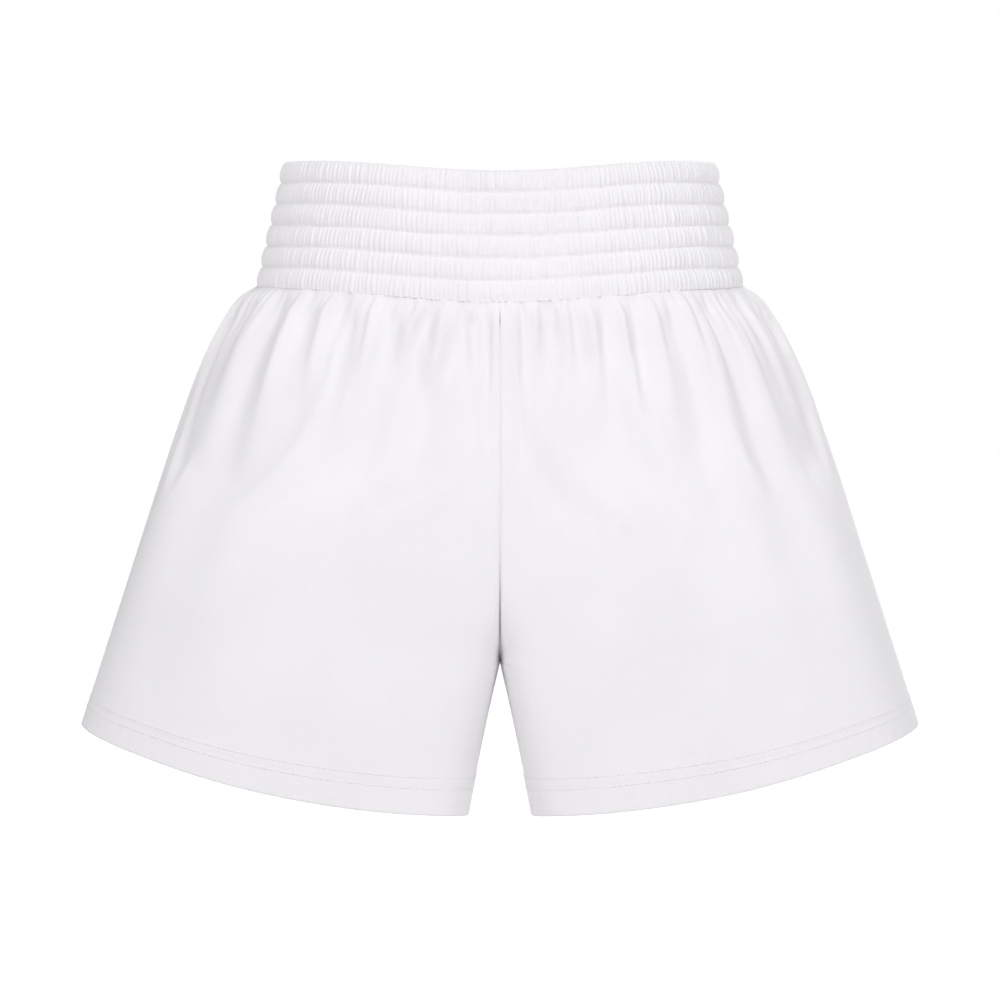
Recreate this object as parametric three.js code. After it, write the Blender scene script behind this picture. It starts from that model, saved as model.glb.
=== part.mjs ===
// Boxing shorts with a six-row elastic waistband, as worn: two flared legs hang from a shirred band.
// Millimetres, +Z up. The wearer faces -Y, so the wearer's left is +X. The origin is the middle of
// the waist opening, level with the band's top edge at the hips.
import * as THREE from "three";

// Waistband
const WAIST_HALF_WIDTH = 131.3; // at the top edge, on the crest of a row
const WAIST_HALF_DEPTH = 93;
const FOOT_HALF_WIDTH = WAIST_HALF_WIDTH + 17; // at the seam to the legs
const FOOT_HALF_DEPTH = WAIST_HALF_DEPTH + 11;
const ROWS = 6;
const ROW_PITCH = 12.7;
const ROW_PUFF = 1.2; // how far a row's crest stands out of the stitched grooves
const TOP_FOLD_DEPTH = ROW_PITCH / 8; // of the rounded fold over the top edge
const TOP_DIP = 7; // how far the top edge drops towards the front
const TOP_DIP_MIDDLE = 7; // and the extra drop at its very middle
const FOOT_DIP = 8.5;
const FOOT_DIP_MIDDLE = 7;
const BACK_DIP = 3;

// Elastics inside the rows
const ELASTIC_HEIGHT = 0.63 * ROW_PITCH;
const ELASTIC_THICKNESS = 1.4;

// Legs
const SIDE_DROP = 265.5; // from the waist seam to the hem, measured straight down at the side
const SIDE_LINE_HALF_WIDTH = FOOT_HALF_WIDTH + 21.9; // of the straight side line at the waist seam
const SIDE_FLARE = 0.317; // how far the side runs out for each millimetre down
const SHOULDER = 15; // how far the gathered hip lies inside that straight line
const SHOULDER_REACH = 26;
const PUFF_REACH = 3.2; // how fast the gathered cloth swells out below the waist seam
// Half depths just below the seam, halfway down, and at the hem.
const FRONT_DEPTHS = [FOOT_HALF_DEPTH + 3, FOOT_HALF_DEPTH + 8, FOOT_HALF_DEPTH - 5];
const BACK_DEPTHS = [FOOT_HALF_DEPTH + 3, FOOT_HALF_DEPTH + 20, FOOT_HALF_DEPTH + 1];
const CROTCH_DEPTH = 305; // below the band's top edge
const HEM_DROP = 53; // how much lower the hem is at the inseam than at the side
const HEM_LIFT = 4.5; // how much higher the hem rides at its front and back
const INSEAM_SPREAD = 19; // the inseam's distance from the middle, at the hem
const FRONT_RISE_FULLNESS = 4; // higher keeps the rise seam straight for longer
const BACK_RISE_FULLNESS = 3.2;
const RISE_TURN = 0.4; // lower makes the rise seam turn more sharply into the crotch
const OUTER_ROUNDNESS = 2.2; // superellipse powers: 2 is an ellipse, more is squarer
const INNER_ROUNDNESS = 4;
const TURN_CROWDING = 3;

// Cloth, seams and stitching
const CLOTH = 1.2;
const LINING = 1;
const CLEARANCE = 0.3; // between two pieces that are sewn to each other
const ALLOWANCE_WIDTH = 8;
const ALLOWANCE_THICKNESS = 1.5;
const THREAD = 0.8;
const HEM_DEPTH = 21.5;
const HEM_NEEDLES = [15, 20]; // heights of the two stitch lines above the hem's edge

// Labels
const WAIST_LABEL_TOP = 5; // below the band's top edge
const WAIST_LABEL_HEIGHT = 20;
const WAIST_LABEL_WIDTH = 50;
const CARE_LABEL_DEPTHS = [95, 145]; // below the waist seam
const CARE_LABEL_WIDTH = 28;
const LABEL_THICKNESS = 0.6;

// Mesh density
const BAND_STEPS = 48;
const PANEL_COLUMNS = 18;
const CROTCH_CROWDING = 1.45; // rows crowd towards the crotch, where the seam turns fastest
const PANEL_ROWS = 15;
const ARC_SAMPLES = 90;

const BAND_HEIGHT = ROWS * ROW_PITCH;
const BAND_BACK = ROW_PUFF + CLOTH + ELASTIC_THICKNESS + 2 * CLEARANCE; // where the lining starts
const CROTCH_LEVEL = (CROTCH_DEPTH - BAND_HEIGHT) / (SIDE_DROP + HEM_DROP);
const HALF_GAP = CLEARANCE / 2;
const BELOW_WAIST_SEAM = ALLOWANCE_WIDTH + 3 * CLEARANCE; // where the seam's allowance has ended

const lerp = (a, b, t) => a + (b - a) * t;
const levelBelowSeam = (depth) => depth / SIDE_DROP;

// The quadratic through three values at 0, a half and 1.
function through([a, b, c], t) {
  return a * (1 - t) * (1 - 2 * t) + 4 * b * t * (1 - t) + c * t * (2 * t - 1);
}

// ---- Surfaces -------------------------------------------------------------------------------

// How far a level edge drops at a point: share is 0 at the side and 1 at the front or back middle.
function dip(x, y, halfWidth, share, base, middle) {
  const off = Math.min(1, Math.abs(x) / halfWidth);
  const front = base + (middle / 2) * (1 + Math.cos(Math.PI * off));
  return share * (y < 0 ? front : BACK_DIP);
}

// A point of the band: angle runs round it, depth down it, and inward into the wearer. All its
// layers share one direction inwards at each angle, so they stay parallel.
function bandPoint(angle, depth, inward) {
  const t = depth / BAND_HEIGHT;
  const a = lerp(WAIST_HALF_WIDTH, FOOT_HALF_WIDTH, t);
  const b = lerp(WAIST_HALF_DEPTH, FOOT_HALF_DEPTH, t);
  const x = a * Math.cos(angle);
  const y = b * Math.sin(angle);
  const middleA = (WAIST_HALF_WIDTH + FOOT_HALF_WIDTH) / 2;
  const middleB = (WAIST_HALF_DEPTH + FOOT_HALF_DEPTH) / 2;
  const normal = new THREE.Vector2(Math.cos(angle) / middleA, Math.sin(angle) / middleB).normalize();
  const base = lerp(TOP_DIP, FOOT_DIP, t);
  const middle = lerp(TOP_DIP_MIDDLE, FOOT_DIP_MIDDLE, t);
  const drop = dip(x, y, a, Math.abs(Math.sin(angle)), base, middle);
  return new THREE.Vector3(x - inward * normal.x, y - inward * normal.y, -depth - drop);
}

// How far the side of a leg lies from the middle, at a level from 0 (waist seam) to 1 (hem).
function sideHalfWidth(level) {
  const depth = level * SIDE_DROP;
  const start = FOOT_HALF_WIDTH - ROW_PUFF;
  const puff = SIDE_LINE_HALF_WIDTH - SHOULDER - start;
  const line = SIDE_LINE_HALF_WIDTH + SIDE_FLARE * depth;
  return line - SHOULDER * Math.exp(-depth / SHOULDER_REACH) - puff * Math.exp(-depth / PUFF_REACH);
}

function halfDepth(level, depths) {
  const puff = depths[0] - FOOT_HALF_DEPTH + ROW_PUFF;
  return through(depths, level) - puff * Math.exp((-level * SIDE_DROP) / PUFF_REACH);
}

// One half of a leg's level curve, front or back, from its inner end to the side, as [x, y] pairs.
function halfCurve(level, depths, fullness, sign) {
  const outer = sideHalfWidth(level);
  const depth = halfDepth(level, depths);
  const share = Math.min(1, level / CROTCH_LEVEL);
  const below = Math.max(0, level - CROTCH_LEVEL) / (1 - CROTCH_LEVEL);
  const inner = INSEAM_SPREAD * below;
  const centre = ((outer + inner) / 2) * THREE.MathUtils.smoothstep(share, 0, 1);
  const seamShare = (1 - share ** fullness) ** RISE_TURN;
  const start = Math.acos(seamShare ** (INNER_ROUNDNESS / 2));
  const reach = share < 1 ? centre / Math.sin(start || 1) ** (2 / INNER_ROUNDNESS) : centre - inner;
  const points = [];
  for (let i = 0; i < ARC_SAMPLES && centre > 0; i++) {
    const angle = start * (1 - i / ARC_SAMPLES) ** 2;
    const x = centre - reach * Math.sin(angle) ** (2 / INNER_ROUNDNESS);
    points.push([x, sign * depth * Math.cos(angle) ** (2 / INNER_ROUNDNESS)]);
  }
  for (let i = 0; i <= ARC_SAMPLES; i++) {
    const angle = (Math.PI / 2) * (i / ARC_SAMPLES);
    const x = centre + (outer - centre) * Math.sin(angle) ** (2 / OUTER_ROUNDNESS);
    points.push([x, sign * depth * Math.max(0, Math.cos(angle)) ** (2 / OUTER_ROUNDNESS)]);
  }
  return points;
}

// The height of a point of a level curve.
function legHeight(level, x, y, depth) {
  const outer = sideHalfWidth(level);
  const inner = (INSEAM_SPREAD * Math.max(0, level - CROTCH_LEVEL)) / (1 - CROTCH_LEVEL);
  const across = Math.min(1, (outer - x) / (outer - inner));
  const share = Math.min(1, Math.abs(y) / depth);
  const atSeam = dip(x, y, FOOT_HALF_WIDTH, share, FOOT_DIP, FOOT_DIP_MIDDLE);
  const atHem = HEM_DROP * across * (2 - across) - HEM_LIFT * share ** 2;
  return -BAND_HEIGHT - SIDE_DROP * level - (1 - level) * atSeam - level * atHem;
}

// A level curve's points in space, from its inner end to the side. They are evenly spaced over the
// front or back, and crowd less on the stretch that turns in to the crotch and the inseam.
function levelPoints(level, front, columns) {
  const [depths, fullness, sign] = front
    ? [FRONT_DEPTHS, FRONT_RISE_FULLNESS, -1]
    : [BACK_DEPTHS, BACK_RISE_FULLNESS, 1];
  const curve = halfCurve(level, depths, fullness, sign);
  const along = [0];
  for (let i = 1; i < curve.length; i++) {
    const step = Math.hypot(curve[i][0] - curve[i - 1][0], curve[i][1] - curve[i - 1][1]);
    along.push(along[i - 1] + step);
  }
  const points = [];
  const turnedIn = Math.min(along.at(-1) / 2, halfDepth(level, depths) - sign * curve[0][1]);
  for (let c = 0, i = 1; c <= columns; c++) {
    const fromSide = 1 - c / columns;
    const target = along.at(-1) * (1 - fromSide) + turnedIn * (fromSide - fromSide ** TURN_CROWDING);
    while (i < curve.length - 1 && along[i] < target) i++;
    const t = (target - along[i - 1]) / (along[i] - along[i - 1] || 1);
    const x = Math.max(HALF_GAP, lerp(curve[i - 1][0], curve[i][0], t));
    const y = lerp(curve[i - 1][1], curve[i][1], t);
    const z = legHeight(level, x, y, halfDepth(level, depths));
    points.push(new THREE.Vector3(x, sign * Math.max(HALF_GAP, sign * y), z));
  }
  return points;
}

// ---- Solids ---------------------------------------------------------------------------------

// A closed mesh from quads given by vertex index, each counterclockwise from outside.
function meshOf(vertices, quads) {
  const geometry = new THREE.BufferGeometry().setFromPoints(vertices);
  geometry.setIndex(quads.flatMap(([a, b, c, d]) => [a, b, c, a, c, d]));
  geometry.computeVertexNormals();
  return geometry;
}

// A sheet of cloth: a grid of rows of points, given a thickness from one inward offset to another.
// Seen from outside the columns run to the right; flip says when they run to the left.
function sheet(rows, from, to, { flip = false, closed = false, square = () => false } = {}) {
  const height = rows.length;
  const width = rows[0].length;
  const at = (r, c) => rows[r][closed ? (c + width) % width : Math.max(0, Math.min(width - 1, c))];
  const vertices = [];
  for (const inward of [from, to]) {
    for (let r = 0; r < height; r++) {
      for (let c = 0; c < width; c++) {
        const across = at(r, c + 1).clone().sub(at(r, c - 1));
        const down = at(Math.min(height - 1, r + 1), c).clone().sub(at(Math.max(0, r - 1), c));
        const normal = down.cross(across).multiplyScalar(flip ? -1 : 1);
        if (square(r, c)) normal.y = 0;
        vertices.push(at(r, c).clone().addScaledVector(normal.normalize(), -inward));
      }
    }
  }
  const index = (layer, r, c) => layer * height * width + r * width + (closed ? c % width : c);
  const quads = [];
  const add = (a, b, c, d) => quads.push(flip ? [d, c, b, a] : [a, b, c, d]);
  const spans = closed ? width : width - 1;
  for (let c = 0; c < spans; c++) {
    for (let r = 0; r < height - 1; r++) {
      add(index(0, r, c), index(0, r + 1, c), index(0, r + 1, c + 1), index(0, r, c + 1));
      add(index(1, r, c), index(1, r, c + 1), index(1, r + 1, c + 1), index(1, r + 1, c));
    }
    const end = height - 1;
    add(index(0, 0, c + 1), index(1, 0, c + 1), index(1, 0, c), index(0, 0, c));
    add(index(0, end, c), index(1, end, c), index(1, end, c + 1), index(0, end, c + 1));
  }
  for (let r = 0; r < height - 1 && !closed; r++) {
    const end = width - 1;
    add(index(0, r, 0), index(1, r, 0), index(1, r + 1, 0), index(0, r + 1, 0));
    add(index(0, r + 1, end), index(1, r + 1, end), index(1, r, end), index(0, r, end));
  }
  return meshOf(vertices, quads);
}

// A closed profile swept round stations: point(station, corner) places each corner.
function sweep(stations, corners, point, closed) {
  const vertices = [];
  for (const station of stations) for (const corner of corners) vertices.push(point(station, corner));
  const n = corners.length;
  const quads = [];
  const spans = closed ? stations.length : stations.length - 1;
  for (let s = 0; s < spans; s++) {
    const next = (s + 1) % stations.length;
    for (let k = 0; k < n; k++) {
      const after = (k + 1) % n;
      quads.push([s * n + k, s * n + after, next * n + after, next * n + k]);
    }
  }
  const geometry = meshOf(vertices, quads);
  if (closed) return geometry;
  const outline = corners.map(([depth, inward]) => new THREE.Vector2(inward, depth));
  const cap = THREE.ShapeUtils.triangulateShape(outline, []);
  const last = (stations.length - 1) * n;
  const ends = cap.flatMap(([a, b, c]) => [a, b, c, last + c, last + b, last + a]);
  geometry.setIndex([...geometry.index.array, ...ends]);
  return geometry;
}

// A flat outline in the plane of two axes, given a thickness each side of it.
function plate(outline, thickness, place) {
  const shape = new THREE.Shape(outline.map(([a, b]) => new THREE.Vector2(a, b)));
  const geometry = new THREE.ExtrudeGeometry(shape, { depth: thickness, bevelEnabled: false });
  geometry.translate(0, 0, -thickness / 2);
  return geometry.applyMatrix4(place);
}

// ---- The garment ----------------------------------------------------------------------------

const shorts = new THREE.Group();

const cloth = new THREE.MeshStandardMaterial({ color: 0xf0eef1, roughness: 0.85, metalness: 0 });
const lining = new THREE.MeshStandardMaterial({ color: 0xebe9ec, roughness: 0.9, metalness: 0 });
const elastic = new THREE.MeshStandardMaterial({ color: 0xe6e4e2, roughness: 0.8, metalness: 0 });
const thread = new THREE.MeshStandardMaterial({ color: 0xf4f3f5, roughness: 0.5, metalness: 0 });
const satin = new THREE.MeshStandardMaterial({ color: 0xf2f2f2, roughness: 0.4, metalness: 0 });

function add(name, geometry, material, mirrored = false) {
  const mesh = new THREE.Mesh(geometry, material);
  mesh.name = name;
  if (mirrored) mesh.scale.x = -1;
  shorts.add(mesh);
}

const bandAngles = (from, to, steps) =>
  Array.from({ length: steps + 1 }, (_, i) => from + ((to - from) * i) / steps);
const wholeTurn = bandAngles(0, 2 * Math.PI, BAND_STEPS).slice(0, -1);

// The casing is folded over at the top: an outer wall puffed into rows, and a lining wall behind
// the elastics. Its profile is a list of [depth, inward] corners.
function casingProfile() {
  const outer = [[0, ROW_PUFF + CLOTH], [TOP_FOLD_DEPTH, ROW_PUFF / 3]];
  for (let row = 0; row < ROWS; row++) {
    outer.push([(row + 0.5) * ROW_PITCH, 0], [(row + 1) * ROW_PITCH, ROW_PUFF]);
  }
  const wallBack = ROW_PUFF + CLOTH;
  const channelTop = ROW_PITCH / 2 - ELASTIC_HEIGHT / 2 - CLEARANCE;
  const channel = [
    [BAND_HEIGHT, wallBack],
    [channelTop, wallBack],
    [channelTop, BAND_BACK],
    [BAND_HEIGHT, BAND_BACK],
  ];
  const face = BAND_BACK + LINING;
  return [...outer, ...channel, [BAND_HEIGHT, face], [TOP_FOLD_DEPTH, face]];
}

function addCasing() {
  const corners = casingProfile();
  for (const [name, from] of [["waistband_front_casing", -Math.PI], ["waistband_back_casing", 0]]) {
    const angles = bandAngles(from, from + Math.PI, BAND_STEPS / 2);
    const side = from < 0 ? -1 : 1;
    const place = (angle, [depth, inward]) => {
      const point = bandPoint(angle, depth, inward);
      point.y = side * Math.max(HALF_GAP, side * point.y);
      return point;
    };
    add(name, sweep(angles, corners, place, false), cloth);
  }
}

// A strip that lies flat against the band, all round it unless angles say where.
function bandStrip(top, height, inward, thickness, angles = wholeTurn) {
  const corners = [
    [top, inward],
    [top + height, inward],
    [top + height, inward + thickness],
    [top, inward + thickness],
  ];
  const place = (angle, [depth, into]) => bandPoint(angle, depth, into);
  return sweep(angles, corners, place, angles === wholeTurn);
}

function addElastics() {
  const inward = ROW_PUFF + CLOTH + CLEARANCE;
  for (let row = 0; row < ROWS; row++) {
    const top = (row + 0.5) * ROW_PITCH - ELASTIC_HEIGHT / 2;
    const ring = bandStrip(top, ELASTIC_HEIGHT, inward, ELASTIC_THICKNESS);
    add(`elastic_${row + 1}`, ring, elastic);
  }
}

// Each row of stitches is a thread laid in a groove between two rows.
function addBandStitches() {
  for (let row = 1; row < ROWS; row++) {
    const top = row * ROW_PITCH - THREAD / 2;
    const ring = bandStrip(top, THREAD, ROW_PUFF - CLEARANCE - THREAD, THREAD);
    add(`channel_stitch_${row}`, ring, thread);
  }
}

// The overlocked edge of the waist seam hangs down inside, behind the legs' top edge.
function addWaistSeam() {
  const inward = ROW_PUFF + CLOTH + CLEARANCE;
  const top = BAND_HEIGHT + CLEARANCE;
  const ring = bandStrip(top, ALLOWANCE_WIDTH, inward, ALLOWANCE_THICKNESS);
  add("waist_seam_allowance", ring, lining);
}

function addWaistLabel() {
  const halfAngle = WAIST_LABEL_WIDTH / 2 / WAIST_HALF_WIDTH;
  const angles = bandAngles(Math.PI / 2 - halfAngle, Math.PI / 2 + halfAngle, 4);
  const inward = BAND_BACK + LINING + CLEARANCE;
  const label = bandStrip(WAIST_LABEL_TOP, WAIST_LABEL_HEIGHT, inward, LABEL_THICKNESS, angles);
  add("waist_label", label, satin);
}

// Rows of levels that crowd towards the waist seam and the crotch, where the cloth turns fastest.
function panelLevels() {
  const levels = [CLEARANCE, PUFF_REACH, BELOW_WAIST_SEAM].map(levelBelowSeam);
  const toCrotch = PANEL_ROWS - 6;
  for (let i = 1; i < toCrotch; i++) {
    const share = 1 - (1 - i / toCrotch) ** CROTCH_CROWDING;
    levels.push(lerp(levels[2], CROTCH_LEVEL, share));
  }
  const hemStart = 1 - levelBelowSeam(HEM_DEPTH);
  levels.push(CROTCH_LEVEL, lerp(CROTCH_LEVEL, hemStart, 0.5), hemStart, 1);
  return levels;
}

function addPanels() {
  const levels = panelLevels();
  for (const front of [true, false]) {
    const rows = levels.map((level) => levelPoints(level, front, PANEL_COLUMNS));
    const atSide = (r, c) => c === PANEL_COLUMNS || (c === 0 && levels[r] >= CROTCH_LEVEL);
    const where = front ? "front" : "back";
    for (const [side, mirrored] of [["left", false], ["right", true]]) {
      const geometry = sheet(rows, 0, CLOTH, { flip: !front, square: atSide });
      add(`${side}_${where}_panel`, geometry, cloth, mirrored);
    }
  }
}

// A leg's whole level curve: the front from the inseam to the side, then the back to the inseam.
function legRing(level) {
  const front = levelPoints(level, true, PANEL_COLUMNS);
  const back = levelPoints(level, false, PANEL_COLUMNS).reverse();
  return [...front, ...back];
}

function addHems() {
  const levels = [1 - levelBelowSeam(HEM_DEPTH), 1];
  const from = CLOTH + CLEARANCE;
  const ends = [0, PANEL_COLUMNS, PANEL_COLUMNS + 1, 2 * PANEL_COLUMNS + 1];
  const options = { closed: true, square: (r, c) => ends.includes(c) };
  for (const [side, mirrored] of [["left", false], ["right", true]]) {
    const facing = sheet(levels.map(legRing), from, from + LINING, options);
    add(`${side}_hem_facing`, facing, lining, mirrored);
    HEM_NEEDLES.forEach((height, i) => {
      const half = THREAD / 2;
      const rows = [height + half, height - half].map((h) => legRing(1 - levelBelowSeam(h)));
      const line = sheet(rows, -CLEARANCE - THREAD, -CLEARANCE, options);
      add(`${side}_hem_stitch_${i + 1}`, line, thread, mirrored);
    });
  }
}

// A seam's overlocked allowance stands inwards from the seam as a fin. The seam is a line of
// [across, up] points, and inward says on which side of it the fin lies.
function fin(line, inward, place) {
  const edges = [CLOTH + CLEARANCE, CLOTH + CLEARANCE + ALLOWANCE_WIDTH].map((offset) =>
    line.map((point, i) => {
      const before = new THREE.Vector2(...line[Math.max(0, i - 1)]);
      const after = new THREE.Vector2(...line[Math.min(line.length - 1, i + 1)]);
      const along = after.sub(before).normalize();
      return [point[0] - inward * offset * along.y, point[1] + inward * offset * along.x];
    }),
  );
  return plate([...edges[0], ...edges[1].reverse()], ALLOWANCE_THICKNESS, place);
}

const ACROSS_X = new THREE.Matrix4().makeBasis(
  new THREE.Vector3(1, 0, 0),
  new THREE.Vector3(0, 0, 1),
  new THREE.Vector3(0, -1, 0),
);
const ACROSS_Y = new THREE.Matrix4().makeBasis(
  new THREE.Vector3(0, 1, 0),
  new THREE.Vector3(0, 0, 1),
  new THREE.Vector3(1, 0, 0),
);

// The edge of a panel between two levels, following the panel's own facets: its inner end is 0 and
// the side is 1.
function seamLine(from, to, front, end) {
  const levels = panelLevels();
  const between = levels.filter((level) => level > from && level < to);
  return [from, ...between, to].map((level) => {
    const next = levels.findIndex((l) => l >= level);
    const [above, below] = [levels[next - 1], levels[next]];
    const point = levelPoints(above, front, 1)[end];
    return point.lerp(levelPoints(below, front, 1)[end], (level - above) / (below - above));
  });
}

function addSeamAllowances() {
  const top = levelBelowSeam(BELOW_WAIST_SEAM);
  const foot = 1 - levelBelowSeam(HEM_DEPTH + 2 * CLEARANCE);
  const side = seamLine(top, foot, true, 1).map((point) => [point.x, point.z]);
  const inseamTop = CROTCH_LEVEL + levelBelowSeam(ALLOWANCE_WIDTH);
  const inseam = seamLine(inseamTop, foot, true, 0).map((point) => [point.x, point.z]);
  for (const [name, mirrored] of [["left", false], ["right", true]]) {
    add(`${name}_side_seam_allowance`, fin(side, -1, ACROSS_X), lining, mirrored);
    add(`${name}_inseam_allowance`, fin(inseam, 1, ACROSS_X), lining, mirrored);
  }
  const front = seamLine(top, CROTCH_LEVEL, true, 0);
  const back = seamLine(top, CROTCH_LEVEL, false, 0).reverse();
  const rise = [...front.slice(0, -1), ...back].map((point) => [point.y, point.z]);
  add("rise_seam_allowance", fin(rise, 1, ACROSS_Y), lining);
}

// The care label is caught in the wearer's left side seam and lies on the back panel inside.
function addCareLabel() {
  const columns = 4;
  const [top, foot] = CARE_LABEL_DEPTHS.map(levelBelowSeam);
  const rows = [0, 1, 2, 3, 4].map((i) => {
    const level = lerp(top, foot, i / 4);
    const line = levelPoints(level, false, 60).reverse();
    const spacing = line[10].distanceTo(line[11]);
    const start = (ALLOWANCE_THICKNESS / 2 + CLEARANCE) / spacing;
    return Array.from({ length: columns + 1 }, (_, c) => {
      const at = start + (CARE_LABEL_WIDTH / spacing) * (c / columns);
      return line[Math.floor(at)].clone().lerp(line[Math.floor(at) + 1], at % 1);
    });
  });
  const from = CLOTH + 2 * CLEARANCE;
  add("care_label", sheet(rows, from, from + LABEL_THICKNESS, {}), satin);
}

addCasing();
addElastics();
addBandStitches();
addWaistSeam();
addWaistLabel();
addPanels();
addHems();
addSeamAllowances();
addCareLabel();

export default shorts;
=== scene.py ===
"""White boxing shorts with a six-row shirred waistband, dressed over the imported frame. Metres, +Z up."""

import logging
import math
from dataclasses import dataclass, field
from enum import Enum

import bpy
import numpy as np
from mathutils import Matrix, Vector


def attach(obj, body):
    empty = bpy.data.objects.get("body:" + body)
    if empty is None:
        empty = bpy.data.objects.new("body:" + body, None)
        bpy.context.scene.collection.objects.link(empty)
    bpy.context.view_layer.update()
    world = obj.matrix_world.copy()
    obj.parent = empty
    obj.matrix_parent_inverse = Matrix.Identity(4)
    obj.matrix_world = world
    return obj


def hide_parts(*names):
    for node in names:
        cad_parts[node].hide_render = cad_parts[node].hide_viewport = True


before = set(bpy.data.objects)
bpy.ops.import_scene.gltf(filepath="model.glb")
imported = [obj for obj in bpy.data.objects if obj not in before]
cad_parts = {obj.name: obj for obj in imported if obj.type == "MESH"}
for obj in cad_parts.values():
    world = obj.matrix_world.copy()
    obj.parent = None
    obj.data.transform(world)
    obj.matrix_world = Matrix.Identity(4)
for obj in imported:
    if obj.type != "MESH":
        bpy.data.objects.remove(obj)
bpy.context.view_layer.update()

LOG = logging.getLogger("boxing_shorts")
MM = 0.001
Value = float | np.ndarray


def hex_to_linear(code: str) -> tuple[float, float, float, float]:
    """Turns an sRGB hex colour into linear RGBA.

    Args:
        code: the colour, such as "f0eef1".

    Returns:
        The linear colour with an alpha of 1.
    """
    values = [int(code[i : i + 2], 16) / 255 for i in (0, 2, 4)]
    linear = [v / 12.92 if v <= 0.04045 else ((v + 0.055) / 1.055) ** 2.4 for v in values]
    return (*linear, 1.0)


def lerp(a: Value, b: Value, t: Value) -> Value:
    """Returns the value between a and b at t."""
    return a + (b - a) * t


def smoothstep(x: np.ndarray) -> np.ndarray:
    """Returns the smooth step of x from 0 to 1."""
    x = np.clip(x, 0, 1)
    return x * x * (3 - 2 * x)


def unit(vectors: np.ndarray) -> np.ndarray:
    """Returns the vectors at length 1."""
    return vectors / np.maximum(np.linalg.norm(vectors, axis=-1, keepdims=True), 1e-9)


# ---- The garment's form ------------------------------------------------------------------------


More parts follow.
